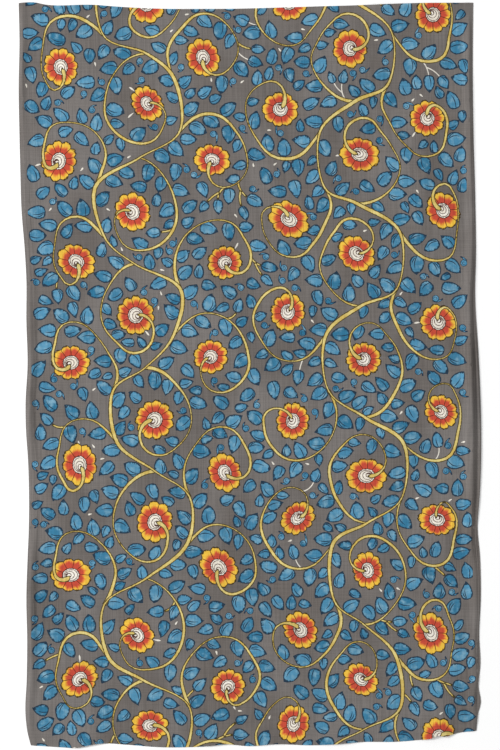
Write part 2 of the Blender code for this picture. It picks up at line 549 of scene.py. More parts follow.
# %% [markdown]
# ## Patches of paint
#
# Everything painted is a patch: a closed outline with its kind of paint and a tone, so
# that no two leaves have quite the same blue. The patches lie in the order in which the
# painter laid them: a later one covers an earlier one. Guides are lines inside a patch
# that the mesh must follow too, so that the distance to the painted edge can be stored
# along them.

# %% The list of patches
PAINTS = ("ground", "leaf", "bud", "vine", "petal", "cream", "white", "blue line", "brown line")
Patch = namedtuple("Patch", "paint outline tone flower")
patches = []
guides = []


def lay_paint(paint, shape, guide=None, closed=True, flower=None):
    """Add one patch, and the guide line or loop inside it.

    For petals, `flower` is the centre, the angle of the first notch, the radius and the
    number of petals.
    """
    patches.append(Patch(PAINTS.index(paint), shape, rng.random(), flower))
    if guide is not None:
        guides.append((guide, closed))


def count_of(paint):
    """How many patches of one paint there are so far."""
    return sum(patch.paint == PAINTS.index(paint) for patch in patches)


def frame_of(angle):
    """The unit vectors along and across a direction given by its angle."""
    along = np.array([np.cos(angle), np.sin(angle)])
    return along, np.array([-along[1], along[0]])


def stroke_outline(path, half_width):
    """Both sides of a brush stroke: the path moved left and right by its half width."""
    tangent = np.gradient(path, axis=0)
    tangent /= np.linalg.norm(tangent, axis=1)[:, None]
    across = np.stack([-tangent[:, 1], tangent[:, 0]], axis=1) * half_width[:, None]
    return np.concatenate([path - across, (path + across)[::-1]])


print("kinds of paint:", len(PAINTS))

# %% [markdown]
# ## Leaves
#
# A leaf has a round base and a pointed tip. Its half width grows as the 0.4 power of the
# way along it and falls as a power between 0.55 and 0.85, which puts the widest place a
# third to two fifths up. Its axis bends to one side. One dark line bows up from the base,
# and some leaves have a second one beside it.

# %% Leaf shape
Leaf = namedtuple("Leaf", "base angle length width bend")

LEAF_BASE = 0.4
LEAF_SHARPNESS = (0.55, 0.85)


def leaf_half(u, sharp):
    """Half width of a leaf as a share of its greatest half width, at the share u along it."""
    widest = LEAF_BASE / (LEAF_BASE + sharp)
    return (u / widest) ** LEAF_BASE * ((1 - u) / (1 - widest)) ** sharp


def leaf_points(leaf, u, across):
    """Points of a leaf at the share u along it and `across` millimetres off its axis."""
    along, side = frame_of(leaf.angle)
    off = across + leaf.bend * leaf.length * u ** 2
    return leaf.base + (u * leaf.length)[:, None] * along + off[:, None] * side


def leaf_loop(leaf, sharp, inward, first, last, count):
    """One loop round the leaf, `inward` millimetres inside its edge."""
    u = first + (last - first) * (0.5 - 0.5 * np.cos(np.linspace(0, np.pi, count)))
    half = np.maximum(leaf.width / 2 * leaf_half(u, sharp) - inward, 0.0)
    there, back = leaf_points(leaf, u, -half), leaf_points(leaf, u, half)
    return np.concatenate([there, back[-2:0:-1]])


print("widest at", [round(LEAF_BASE / (LEAF_BASE + sharp), 2) for sharp in LEAF_SHARPNESS])

# %% A painted leaf and its lines
LEAF_SIDE_POINTS = 9
HAND_WAVER = 0.4
NIB_LENGTH = 1.8
NIB_LEAN = 1.4
LINE_RING = 2.8
RING_SPAN = (0.055, 0.925)
VEIN_HALF = 0.95 * np.array([0.6, 1.1, 1.2, 0.9, 0.3])
VEIN_START, VEIN_END, VEIN_BOW = 0.04, (0.62, 0.8), (0.1, 0.24)
VEIN_MEETS_AXIS = 0.9
SECOND_VEINS, SECOND_START, SECOND_END, SECOND_BOW = 0.4, 0.12, (0.45, 0.6), 0.16


def either_side():
    """1 or -1, at random."""
    return rng.choice([-1, 1])


def paint_leaf(leaf):
    """A leaf with its bowed midrib, and on some a second line beside it.

    A line leaves the leaf's axis by half a sine wave, so it meets it again near the tip.
    """
    sharp = rng.uniform(*LEAF_SHARPNESS)
    edge = leaf_loop(leaf, sharp, 0.0, 0.0, 1.0, LEAF_SIDE_POINTS)
    edge[1:-1] += rng.normal(0, HAND_WAVER, (len(edge) - 2, 2))
    along, side = frame_of(leaf.angle)
    edge[LEAF_SIDE_POINTS - 1] += NIB_LENGTH * along + either_side() * NIB_LEAN * side
    lay_paint("leaf", edge, leaf_loop(leaf, sharp, LINE_RING, *RING_SPAN, LEAF_SIDE_POINTS - 3))
    bow = either_side() * rng.uniform(*VEIN_BOW) * leaf.width
    lines = [(VEIN_START, rng.uniform(*VEIN_END), bow)]
    if rng.random() < SECOND_VEINS:
        bow = bow + np.sign(bow) * SECOND_BOW * leaf.width
        lines.append((SECOND_START, rng.uniform(*SECOND_END), bow))
    for first, last, sway in lines:
        u = np.linspace(first, last, len(VEIN_HALF))
        path = leaf_points(leaf, u, sway * np.sin(np.pi * u / VEIN_MEETS_AXIS))
        lay_paint("blue line", stroke_outline(path, VEIN_HALF))


print("points round a leaf:", 2 * LEAF_SIDE_POINTS - 2)

# %% [markdown]
# ## Room for each thing
#
# Leaves don't overlap. Each thing already painted is remembered as a few discs, and a new
# leaf, stood for by three discs along it, is only painted where they clear all the others.

# %% Discs that stand for what is painted
FLOWER_RADIUS = 46.0
LEAF_DISCS = np.array([(0.24, 0.42), (0.5, 0.46), (0.8, 0.26)])  # way along, share of width
TRIAL_COUNT = 9000
TRIALS_BEYOND = 10
PAINTED_EASE = 4


def painted_margins(places):
    """How far places lie inside the painted part's right and left limits."""
    x, y = places.T
    return read_table(PAINTED, "right", y) - x, x - read_table(PAINTED, "left", y)


class Room:
    """Discs taken on the cloth, and the free distance at a set of trial places."""

    def __init__(self, trials):
        self.places = np.zeros((0, 2))
        self.radii = np.zeros(0)
        self.soft = np.zeros(0, bool)
        self.trials = trials
        self.free = np.minimum(*painted_margins(trials)) + PAINTED_EASE

    def take(self, places, radii, soft=False):
        """Take discs. A soft disc is part of a vine, which the base of a leaf may touch."""
        self.places = np.vstack([self.places, places])
        self.radii = np.append(self.radii, radii)
        self.soft = np.append(self.soft, np.full(len(radii), soft))
        for place, radius in zip(places, radii):
            away = np.hypot(*(self.trials - place).T) - radius
            self.free = np.minimum(self.free, away)

    def gap(self, places, radii, ease=0.0):
        """Smallest gap between the given discs and all taken ones.

        `ease` is added to the gap to soft discs, one number for each given disc.
        """
        away = np.linalg.norm(places[:, None] - self.places, axis=2)
        away += np.broadcast_to(ease, len(places))[:, None] * self.soft
        return (away - radii[:, None] - self.radii).min()


corner = np.array([HALF_X, HALF_Y + TRIALS_BEYOND])
room = Room(rng.uniform(-corner, corner, (TRIAL_COUNT, 2)))
print("places tried for fillers:", TRIAL_COUNT)

# %% Vine widths, and room for vines and flowers
TAPER = 1.6
SWELL = 0.3
SWELL_LENGTH = 62
LAST_PHASE = 9
HEART_SWELL, HEART_LENGTH = 5.0, 50
TIP_LENGTH, TIP_THIN = 5, 0.05
VINE_MARGIN, FLOWER_MARGIN = 0.6, 2.0


def vine_half_width(vine):
    """Half width along a vine: it swells and thins, and a branch thickens in its flower."""
    length = path_lengths(vine.path)
    share = np.minimum(length / length[-1] * TAPER, 1.0)
    width = vine.wide_start + (vine.wide_end - vine.wide_start) * share
    width = width * (1 + SWELL * np.sin(length / SWELL_LENGTH + LAST_PHASE * rng.random()))
    if vine.flower is not None:
        to_end = length[-1] - length
        width = width + HEART_SWELL * np.clip(1 - to_end / HEART_LENGTH, 0, 1)
        width = width * np.sqrt(np.clip(to_end / TIP_LENGTH, TIP_THIN, 1))
    return width / 2


halves = [vine_half_width(vine) for vine in vines]
for vine, half in zip(vines, halves):
    room.take(vine.path, half + VINE_MARGIN, soft=True)
for key in shown:
    room.take(centres[key][None], np.array([FLOWER_RADIUS + FLOWER_MARGIN]))
print("free distance now up to", round(room.free.max(), 1), "mm")

# %% A leaf, if it fits
LEAF_LENGTH = 44.0
LEAF_GAP = 1.5
LEAF_BEND = 0.1
RIGHT_KEPT, LEFT_KEPT = 0.75, 0.45
ON_A_VINE = np.array([60.0, 6.0, 0.0])


def within_painted(places, radii):
    """Whether discs lie on the painted part with at least the kept share of their radii."""
    right, left = painted_margins(places)
    return min((right - RIGHT_KEPT * radii).min(), (left - LEFT_KEPT * radii).min()) > 0


def try_leaf(leaf, ease=0.0):
    """Paint a leaf if three discs along its bent axis are clear of all that is painted.

    Its base may touch a vine where `ease` allows it.
    """
    u, share = LEAF_DISCS.T
    places, radii = leaf_points(leaf, u, 0 * u), share * leaf.width
    if not within_painted(places, radii) or room.gap(places, radii, ease) <= LEAF_GAP:
        return False
    paint_leaf(leaf)
    room.take(places, radii)
    return True


print("gap round a leaf:", LEAF_GAP, "mm")

# %% Twigs: a thin curved stem that ends in a leaf
STEM_POINTS = 7
STEM_LENGTH = (26, 46)
LEAF_BREADTH = (0.68, 0.8)
TWIG_HALF = 3.3
TWIG_SHAPE = np.linspace(1.2, 0.95, STEM_POINTS)
WHITE_SHARE = 0.36
ON_STEM = 60.0
BY_THE_VINE, OFF_THE_VINE = slice(1, 3), slice(3, None)
BUD_GAP = 1.5


def walk(base, heading, length):
    """A path of equal steps from `base`, each with its own heading."""
    steps = rays(heading) * length / (len(heading) - 1)
    return base + np.vstack([[0, 0], np.cumsum(steps[:-1], axis=0)])


def grow_twig(point, angle, curl, size, paint):
    """Paint a curved stem and the leaf at its tip if both have room, and return its path."""
    heading = angle + curl * np.linspace(0, 1, STEM_POINTS)
    path = walk(point, heading, rng.uniform(*STEM_LENGTH))
    leaf = Leaf(path[-1], heading[-1], size, size * rng.uniform(*LEAF_BREADTH), 0.0)
    radii = np.full(len(path), TWIG_HALF)
    clear = min(
        room.gap(path[OFF_THE_VINE], radii[OFF_THE_VINE]),
        room.gap(path[BY_THE_VINE], radii[BY_THE_VINE], ON_STEM),
    )
    if clear < BUD_GAP or not try_leaf(leaf):
        return None
    thin = TWIG_HALF * TWIG_SHAPE * (WHITE_SHARE if paint == "white" else 1.0)
    lay_paint(paint, stroke_outline(path, thin), path, closed=False)
    room.take(path[1:], radii[1:], soft=True)
    return path


print("a twig is", 2 * TWIG_HALF, "mm wide")

# %% Twigs from random places on the vines
TWIGS = 46
TWIG_TRIES = 1400
WHITE_TWIGS = 0.3
SIDE_TRIES = 4
BARE_ENDS = (20, 60)
LOOK_AHEAD = 3
BEND_POINT = 3
TWIG_ANGLE, TWIG_CURL, TWIG_LEAF = (0.6, 1.1), (-0.9, 1.3), (0.8, 1.0)
SIDE_ANGLE, SIDE_CURL, SIDE_LEAF = (0.5, 0.9), -0.7, 0.85


def angle_of(step):
    """The angle at which a step points."""
    return np.arctan2(*step[::-1])


def on_path(path, at):
    """The point `at` millimetres along a path, and the heading there."""
    length = path_lengths(path)
    here, ahead = (
        np.array([np.interp(way, length, path[:, axis]) for axis in (0, 1)])
        for way in (at, at + LOOK_AHEAD)
    )
    return here, angle_of(ahead - here)


def try_twig(vine):
    """Grow a twig from a random place on the vine, and on some a second one from its bend."""
    last = path_lengths(vine.path)[-1] - BARE_ENDS[1]
    point, heading = on_path(vine.path, rng.uniform(BARE_ENDS[0], last))
    side = either_side()
    angle = heading + side * rng.uniform(*TWIG_ANGLE)
    paint = "white" if rng.random() < WHITE_TWIGS else "vine"
    size = LEAF_LENGTH * rng.uniform(*TWIG_LEAF)
    path = grow_twig(point, angle, side * rng.uniform(*TWIG_CURL), size, paint)
    if path is None:
        return False
    heading = angle_of(path[BEND_POINT + 1] - path[BEND_POINT])
    for _ in range(SIDE_TRIES):
        turn = side * either_side() * rng.uniform(*SIDE_ANGLE)
        bend = (heading + turn, SIDE_CURL * turn)
        if grow_twig(path[BEND_POINT], *bend, SIDE_LEAF * size, paint) is not None:
            break
    return True


grown = 0
for _ in range(TWIG_TRIES):
    grown += try_twig(vines[rng.integers(len(vines))])
    if grown == TWIGS:
        break
twig_leaves = count_of("leaf")
print("twigs:", grown, "with", twig_leaves, "leaves")

# %% Leaves in pairs along the vines
LEAF_PITCH = 38.0
LEAF_SIZES = (1.05, 0.94, 0.83, 0.74)
BARE_BY_FLOWER = 70
FIRST_STOP, STOP_DRIFT = (24, 40), 7
LEAF_ANGLE = (0.75, 1.35)
VINE_LEAF_BREADTH = (0.7, 0.82)

for vine, half in zip(vines, halves):
    length = path_lengths(vine.path)
    last = length[-1] - (BARE_BY_FLOWER if vine.flower else 0)
    for stop in np.arange(rng.uniform(*FIRST_STOP), last, LEAF_PITCH):
        for side in (-1, 1):
            at = stop + rng.uniform(-STOP_DRIFT, STOP_DRIFT)
            point, heading = on_path(vine.path, at)
            for size in LEAF_SIZES:
                angle = heading + side * rng.uniform(*LEAF_ANGLE)
                width = LEAF_LENGTH * size * rng.uniform(*VINE_LEAF_BREADTH)
                base = point + frame_of(angle)[0] * np.interp(at, length, half)
                bend = rng.uniform(-LEAF_BEND, LEAF_BEND)
                if try_leaf(Leaf(base, angle, LEAF_LENGTH * size, width, bend), ON_A_VINE):
                    break
vine_leaves = count_of("leaf")
print("leaves on the vines:", vine_leaves - twig_leaves)

# %% Filler leaves in the largest gaps
FILLER_SMALLEST = 13.5
FILLER_WIDTH = (29, 35)
FILLER_SIZES = (1.0, 0.88, 0.78)
FILLER_ANGLES = 10
FILLER_MIDDLE = 0.46
TURN = 2 * np.pi


def full_turn(count):
    """Angles spread evenly over a full turn, from a random first one."""
    return rng.uniform(0, TURN) + np.arange(count) * TURN / count


def try_filler(middle, angle, length, width, size):
    """Try a leaf at that share of its size, with its middle at the place given."""
    base = middle - frame_of(angle)[0] * length * size * FILLER_MIDDLE
    bend = rng.uniform(-LEAF_BEND, LEAF_BEND)
    return try_leaf(Leaf(base, angle, length * size, width * size, bend))


def fill_with_leaves():
    """Put a leaf in the largest free place, turned to fit best, until none is big enough."""
    for _ in range(len(room.trials)):
        best = room.free.argmax()
        reach = room.free[best]
        if reach < FILLER_SMALLEST:
            return
        width = min(2 * reach - LEAF_GAP, rng.uniform(*FILLER_WIDTH))
        shape = (width / rng.uniform(*LEAF_BREADTH), width)
        ways = full_turn(FILLER_ANGLES)
        tries = ((angle, size) for size in FILLER_SIZES for angle in ways)
        if not any(try_filler(room.trials[best], angle, *shape, size) for angle, size in tries):
            room.free[best] = 0.0


fill_with_leaves()
fillers = count_of("leaf") - vine_leaves
print("filler leaves:", fillers, "and room left for", round(room.free.max(), 1), "mm")

# %% [markdown]
# ## Curled buds and white drops
#
# Small curled buds, a round head on a thin bent tail, sprout from the flowers and fill
# what gaps are left. White drops, no more than a touch of the brush, sit in the smallest.

# %% Curled buds
BUD_HEAD = 8.8
HEAD_POINTS = 14
HEAD_GUIDE = 0.3
CURL_POINTS = 8
CURL_TURN = np.linspace(0.2, 4.4, CURL_POINTS)
CURL_REACH = BUD_HEAD * np.linspace(0.62, 0.24, CURL_POINTS)[:, None]
CURL_HALF = np.full(CURL_POINTS, 0.6)
TAIL_HALF = 1.7 + 5.0 * np.linspace(0, 1, STEM_POINTS) ** 1.7
TAIL_DISC = 2.5
TAIL_BEND = 1.5
TAIL_FROM_FLOWER, TAIL_IN_GAP = slice(3, 6), slice(0, 5)


def bud_path(base, angle, length, curl):
    """A tail that bends more and more, and the centre of the head at its end."""
    heading = angle + curl * np.linspace(0, 1, STEM_POINTS) ** TAIL_BEND
    path = walk(base, heading, length)
    return path, path[-1] + frame_of(heading[-1])[1] * np.sign(curl) * BUD_HEAD / 2


def try_bud(base, angle, length, curl, from_flower):
    """Paint a bud if it has room: a tail, a round head and a curl drawn in the head."""
    path, head = bud_path(base, angle, length, curl)
    discs = np.vstack([path[TAIL_FROM_FLOWER if from_flower else TAIL_IN_GAP], [head]])
    radii = np.append(np.full(len(discs) - 1, TAIL_DISC), BUD_HEAD)
    if room.gap(discs, radii) < BUD_GAP or not within_painted(discs, radii):
        return False
    room.take(discs, radii)
    lay_paint("bud", stroke_outline(path, TAIL_HALF), path[::2], closed=False)
    ring = rays(np.linspace(0, TURN, HEAD_POINTS, endpoint=False) + rng.uniform(0, 1))
    lay_paint("bud", head + BUD_HEAD * ring, head + HEAD_GUIDE * ring[::3])
    hook = head + CURL_REACH * rays(angle_of(path[-1] - head) + np.sign(curl) * CURL_TURN)
    lay_paint("blue line", stroke_outline(hook, CURL_HALF))
    return True


print("a bud's head is", 2 * BUD_HEAD, "mm across")

# %% White drops
DROP_HALF = 1.9 * np.array([0.3, 0.55, 0.85, 1.1, 1.0, 0.35])
DROP_SWAY = 0.12


def paint_drop(base, angle, length):
    """A drop of white: a short stroke that swells to one end."""
    t = np.linspace(0, 1, len(DROP_HALF))
    along, side = frame_of(angle)
    sway = DROP_SWAY * length * t ** 2
    path = base + (t * length)[:, None] * along + sway[:, None] * side
    lay_paint("white", stroke_outline(path, DROP_HALF))


print("a drop is up to", round(2 * DROP_HALF.max(), 1), "mm wide")

# %% Buds and drops round the flowers
BUDS_ROUND_FLOWER = 4
BUD_SHARE = 0.78
BUD_ANGLE = 0.4
BUD_START = 0.9
BUD_CURL, BUD_LENGTH = (1.2, 2.6), 30.0
DROP_LENGTH, DROP_ENDS = 18.0, np.array([[9.0], [17.0]])
DROP_DISCS = np.array([3.0, 3.0])

buds = drops = 0
for key in shown:
    for angle in full_turn(BUDS_ROUND_FLOWER):
        angle = angle + rng.uniform(-BUD_ANGLE, BUD_ANGLE)
        outwards = frame_of(angle)[0]
        base = centres[key] + FLOWER_RADIUS * BUD_START * outwards
        curl = either_side() * rng.uniform(*BUD_CURL)
        ends = base + DROP_ENDS * outwards
        if rng.random() < BUD_SHARE:
            buds += try_bud(base, angle, BUD_LENGTH, curl, True)
        elif room.gap(ends[1:], DROP_DISCS[1:]) > BUD_GAP and within_painted(ends, DROP_DISCS):
            paint_drop(base, angle, DROP_LENGTH)
            room.take(ends, DROP_DISCS)
            drops += 1
print("round the flowers:", buds, "curled buds and", drops, "white drops")

# %% Buds and drops in the gaps
SMALLEST_BUD_GAP = 11.2
SMALLEST_DROP_GAP = 7.5
DROP_SHARE = 0.13
GAP_TURNS = 8
GAP_CURL, GAP_BUD_LENGTH = (1.4, 2.8), 25.0
GAP_DROP_LENGTH, GAP_DROP_BACK = 10.0, 4
GIVEN_UP = np.array([12.0])

while room.free.max() > SMALLEST_DROP_GAP:
    best = room.free.argmax()
    place = room.trials[best]
    done = False
    for angle in full_turn(GAP_TURNS) if room.free[best] > SMALLEST_BUD_GAP else ():
        curl = either_side() * rng.uniform(*GAP_CURL)
        head = bud_path(place, angle, GAP_BUD_LENGTH, curl)[1]
        done = try_bud(2 * place - head, angle, GAP_BUD_LENGTH, curl, False)
        if done:
            buds += 1
            break
    if not done and rng.random() < DROP_SHARE:
        angle = rng.uniform(0, TURN)
        paint_drop(place - GAP_DROP_BACK * frame_of(angle)[0], angle, GAP_DROP_LENGTH)
        drops += 1
    if not done:
        room.take(place[None], GIVEN_UP)
print("curled buds:", buds, "white drops:", drops)

# %% [markdown]
# ## Flowers
#
# A flower has nine to eleven petals. Each ends in a bump with small lobes, so the edge is
# a circle whose radius dips to a notch between petals. The heart is a toothed cream disc
# with smaller rings set off towards the stem, which leaves crescents that open where the
# stem comes in.

# %% Flower shape
PETALS = (9, 12)
POINTS_PER_PETAL = 8
PETAL_BUMP, NOTCH_ROUND = 0.15, 0.45
LOBES_PER_PETAL, LOBES, EDGE_WAVER = 3, 0.024, 0.009
PETAL_LINE = np.array([0.6, 0.9, 1.0, 0.7])
LINE_SPAN, LINE_SWAY = (0.36, 0.84), 1.2
DISC_TEETH = 20
TOOTH_TIP, TOOTH_ROOT = 0.44, 0.398
RING_SHARES = (0.335, 0.235, 0.14)
RING_SHIFT = 0.62
SQUASH = 0.13
FLOWER_SIZES = (0.93, 1.08)
STEM_POINT = -6


def paint_flower(centre, radius, stem_angle):
    """Petals, the lines between them, the toothed disc and its crescents."""
    petals = int(rng.integers(*PETALS))
    turned = rng.uniform(0, TURN)
    angle = np.linspace(0, TURN, petals * POINTS_PER_PETAL, endpoint=False)
    phase = (petals * angle / TURN) % 1.0
    bump = np.abs(np.sin(np.pi * phase)) ** NOTCH_ROUND
    lobes = LOBES * np.cos(LOBES_PER_PETAL * TURN * phase)
    lobes = lobes + rng.normal(0, EDGE_WAVER, len(angle))
    stretch, stretched_to = rng.uniform(-SQUASH, SQUASH), rng.uniform(0, np.pi)
    squash = 1 + stretch * np.cos(2 * (angle + turned - stretched_to))
    reach = radius * (1 - PETAL_BUMP + PETAL_BUMP * bump + lobes) * squash
    ray = rays(angle + turned)
    inner = centre + (reach - LINE_RING)[:, None] * ray
    flower = (centre, turned, radius, petals)
    lay_paint("petal", centre + reach[:, None] * ray, inner[::2], flower=flower)
    for notch in range(0, len(angle), POINTS_PER_PETAL):
        t = np.linspace(*LINE_SPAN, len(PETAL_LINE))[:, None]
        sway = LINE_SWAY * np.sin(np.pi * t) * either_side()
        across = np.array([-ray[notch, 1], ray[notch, 0]])
        path = centre + t * radius * squash[notch] * ray[notch] + sway * across
        lay_paint("brown line", stroke_outline(path, PETAL_LINE))
    teeth = np.linspace(0, TURN, 2 * DISC_TEETH, endpoint=False)
    spin = rays(teeth) * (1 + stretch * np.cos(2 * (teeth - stretched_to))[:, None])
    tooth = radius * np.where(np.arange(2 * DISC_TEETH) % 2, TOOTH_TIP, TOOTH_ROOT)
    lay_paint("cream", centre + tooth[:, None] * spin)
    for share in RING_SHARES:
        shift = (RING_SHARES[0] - share) * RING_SHIFT * radius * frame_of(stem_angle)[0]
        lay_paint("cream", centre + shift + share * radius * spin[::2])


ends = {vine.flower: vine.path[STEM_POINT] for vine in vines if vine.flower in shown}
for key in shown:
    stem_angle = angle_of(ends[key] - centres[key])
    paint_flower(centres[key], FLOWER_RADIUS * rng.uniform(*FLOWER_SIZES), stem_angle)
print("patches so far:", len(patches))

# %% Vines go on last, over the leaves and into the flowers
for vine, half in zip(vines, halves):
    middle = vine.path[::2] if len(vine.path) % 2 else np.vstack([vine.path[::2], vine.path[-1:]])
    lay_paint("vine", stroke_outline(vine.path, half), middle, closed=False)
print("patches with the vines:", len(patches))

# %% The plain strips along the selvedges cut the drawing off
STRIP_ROWS = 40
STRIP_TOP = HALF_Y + 60
STRIP_SIDE = 700.0
STRIP_WAVER = 0.6

rows = np.linspace(-STRIP_TOP, STRIP_TOP, STRIP_ROWS)
for name, beyond in (("right", STRIP_SIDE), ("left", -STRIP_SIDE)):
    line = read_table(PAINTED, name, rows) + rng.normal(0, STRIP_WAVER, len(rows))
    strip = np.vstack([np.stack([line, rows], axis=1), [[beyond, rows[-1]], [beyond, rows[0]]]])
    lay_paint("ground", strip[::-1] if beyond > 0 else strip)
print("patches in all:", len(patches))

# %% [markdown]
# ## One mesh from the drawing
#
# A constrained triangulation takes the outline of the cloth, every patch and every guide,
# and cuts the plane into triangles that never cross one of those lines. It also says which
# patches each triangle lies in: the last of them is the paint that shows. More points in
# rows over the ground let the mesh bend over the pleats.

# %% The cloth leans, and so does the drawing
LEAN_START = -10.0
LEAN_TOTAL = 21.0
LEAN_LENGTH = 1100.0


def lean(y):
    """How far the cloth drifts to the right between its upper end and three fifths down."""
    t = np.clip((HALF_Y - y) / LEAN_LENGTH, 0.0, 1.0)
    return LEAN_START + LEAN_TOTAL * t * t * (3 - 2 * t)


def onto_cloth(points):
    """Move points of the straight drawing onto the leaning cloth."""
    return np.stack([points[:, 0] + lean(points[:, 1]), points[:, 1]], axis=1)


shapes = [onto_cloth(patch.outline) for patch in patches]
print("the drawing leans from", lean(HALF_Y), "to", lean(-HALF_Y), "mm")

# %% Points over the ground
RIGHT_LINES = np.concatenate([np.arange(1.2, 30, 1.4), np.arange(31.0, 52, 3.5)])
LEFT_LINES = np.concatenate([np.arange(1.5, 12, 1.5), np.arange(13.5, 31, 2.4)])
END_ZONE = 140.0
END_PITCH = 16.0
MIDDLE_PITCH = 60.0
LEFT_CLEAR, RIGHT_CLEAR, LOW_CLEAR, HIGH_CLEAR = 95, 85, 25, 14


def rows_of_points(low, high, pitch):
    """Staggered rows of points between two heights, clear of both selvedges."""
    across = np.arange(-HALF_X + LEFT_CLEAR, HALF_X - RIGHT_CLEAR, pitch)
    grid = np.stack(np.meshgrid(across, np.arange(low, high, pitch)), axis=-1)
    grid[::2, :, 0] += pitch / 2
    return grid.reshape(-1, 2)


ground_points = np.vstack(
    [left_edge[1:-1] + (line, 0) for line in LEFT_LINES]
    + [right_edge[1:-1] - (line, 0) for line in RIGHT_LINES]
    + [
        rows_of_points(-HALF_Y + LOW_CLEAR, -HALF_Y + END_ZONE, END_PITCH),
        rows_of_points(-HALF_Y + END_ZONE, HALF_Y - END_ZONE, MIDDLE_PITCH),
        rows_of_points(HALF_Y - END_ZONE, HALF_Y - HIGH_CLEAR, END_PITCH),
    ]
)
print("points over the ground:", len(ground_points))

# %% Triangulate one side of the cloth
MERGE = 0.02


def triangulate(shapes, lines):
    """Triangles of the cloth cut along all the shapes, and the topmost shape of each."""
    points, faces, edges = [outline], [list(range(len(outline)))], []
    count = len(outline)
    for shape in shapes:
        points.append(shape)
        faces.append(list(range(count, count + len(shape))))
        count += len(shape)
    for line, closed in lines:
        points.append(line)
        edges += [(count + i, count + i + 1) for i in range(len(line) - 1)]
        edges += [(count + len(line) - 1, count)] if closed else []
        count += len(line)
    flat = [Vector(point) for point in np.vstack(points + [ground_points]).tolist()]
    place, _, found, _, _, owners = delaunay_2d_cdt(flat, edges, faces, 1, MERGE, True)
    inside = [i for i, mine in enumerate(owners) if 0 in mine]
    triangles = np.array([found[i] for i in inside])
    top = np.array([max(owners[i]) - 1 for i in inside])
    place = np.array([tuple(point) for point in place])
    a, b, c = (place[triangles[:, k]] for k in range(3))
    turned = (b - a)[:, 0] * (c - a)[:, 1] - (b - a)[:, 1] * (c - a)[:, 0] < 0
    triangles[turned] = triangles[turned][:, ::-1]
    used, triangles = np.unique(triangles, return_inverse=True)
    return place[used], triangles.reshape(-1, 3), top


front_lines = [(onto_cloth(line), closed) for line, closed in guides]
front_place, front_faces, front_top = triangulate(shapes, front_lines)
print("front:", len(front_place), "points,", len(front_faces), "triangles")

# %% The back, from a rougher drawing of the same patches
BACK_PAINTS = [PAINTS.index(name) for name in ("leaf", "vine", "petal")]
BACK_SMALLEST = 12
BACK_FLAT = 0.3

back_patches = [
    number for number, patch in enumerate(patches)
    if patch.paint in BACK_PAINTS and len(patch.outline) > BACK_SMALLEST
]
back_shapes = [
    shapes[i] if underside(*shapes[i].T).max() > BACK_FLAT else shapes[i][::2]
    for i in back_patches
]
back_place, back_faces, back_top = triangulate(back_shapes, [])
back_top = np.append(back_patches, -1)[back_top]
print("back:", len(back_place), "points,", len(back_faces), "triangles")

# %% [markdown]
# ## Joining the two sides at the rim
#
# Front and back meet the outline at different points. Both sets are sorted by their way
# along it, and a strip of triangles steps from one to the next, like a zip closing. Each
# step on the front makes a triangle with the last back point passed, and the other way
# round.

# %% Rim points in order
def distances_to_loop(points, loop):
    """Each point's distance to every straight piece of a closed loop, and the share along it."""
    step = np.roll(loop, -1, axis=0) - loop
    square = np.maximum((step ** 2).sum(axis=1), 1e-9)
    share = np.clip(np.einsum("psk,sk->ps", points[:, None] - loop, step) / square, 0, 1)
    nearest = loop + share[..., None] * step
    return np.linalg.norm(points[:, None] - nearest, axis=2), share


def way_along(points):
    """How far along the outline each point lies, in millimetres, and the outline's length."""
    length = np.linalg.norm(np.roll(outline, -1, axis=0) - outline, axis=1)
    passed = np.concatenate([[0], np.cumsum(length)])
    away, share = distances_to_loop(points, outline)
    pick = away.argmin(axis=1)
    way = passed[pick] + share[np.arange(len(points)), pick] * length[pick]
    return np.where(way > passed[-1] - MERGE, 0.0, way), passed[-1]


def sides_of(triangles, count):
    """The sides of all triangles, and a code for each that is the same from both sides."""
    sides = triangles[:, [[0, 1], [1, 2], [2, 0]]].reshape(-1, 2)
    return sides, np.sort(sides, axis=1) @ np.array([count, 1])


def rim_of(place, triangles):
    """Points on the open edge, sorted along the outline, and how far along each is."""
    sides, code = sides_of(triangles, len(place))
    _, first, uses = np.unique(code, return_index=True, return_counts=True)
    rim = np.unique(sides[first[uses == 1]])
    way, total = way_along(place[rim])
    order = np.argsort(way, kind="stable")
    return rim[order], way[order], total


front_rim, front_way, rim_length = rim_of(front_place, front_faces)
back_rim, back_way, _ = rim_of(back_place, back_faces)
print("rim:", len(front_rim), "points on the front,", len(back_rim), "on the back")

# %% The strip between the two rims
front_next = np.append(front_way[1:], rim_length)
back_next = np.append(back_way[1:], rim_length)
meets_back = np.searchsorted(back_way, front_next, "left") - 1
meets_front = np.searchsorted(np.append(front_way, rim_length), back_next, "right") - 1
meets_front %= len(front_rim)

offset = len(front_place)
back_ring = back_rim + offset
front_walls = np.stack([np.roll(front_rim, -1), front_rim, back_ring[meets_back]], axis=1)
back_walls = np.stack([back_ring, np.roll(back_ring, -1), front_rim[meets_front]], axis=1)
print("triangles in the strip:", len(front_walls) + len(back_walls))

# %% [markdown]
# ## The mesh and what it stores
#
# Each corner of a triangle stores how far it is from the edge of its patch. The materials
# draw the inked outlines with that. It also stores the patch's tone, and how strong the
# dye is: the back only shows what has soaked through.

# %% Vertices and triangles
THICKNESS = 0.6
BACK_DROP = 0.9
DROP_WIDTH = 8.0


def back_height(x, y):
    """Height of the back: a little low under the pleats, away from the rim.

    The triangles of the two sides differ, and this keeps the back from coming through.
    """
    inward = np.minimum.reduce([
        right_side(y) - x, x - left_side(y), y - bottom_end(x), top_end(x) - y,
    ])
    drop = BACK_DROP * np.clip(inward / DROP_WIDTH, 0, 1)
    return np.maximum(underside(x, y) - drop, 0)


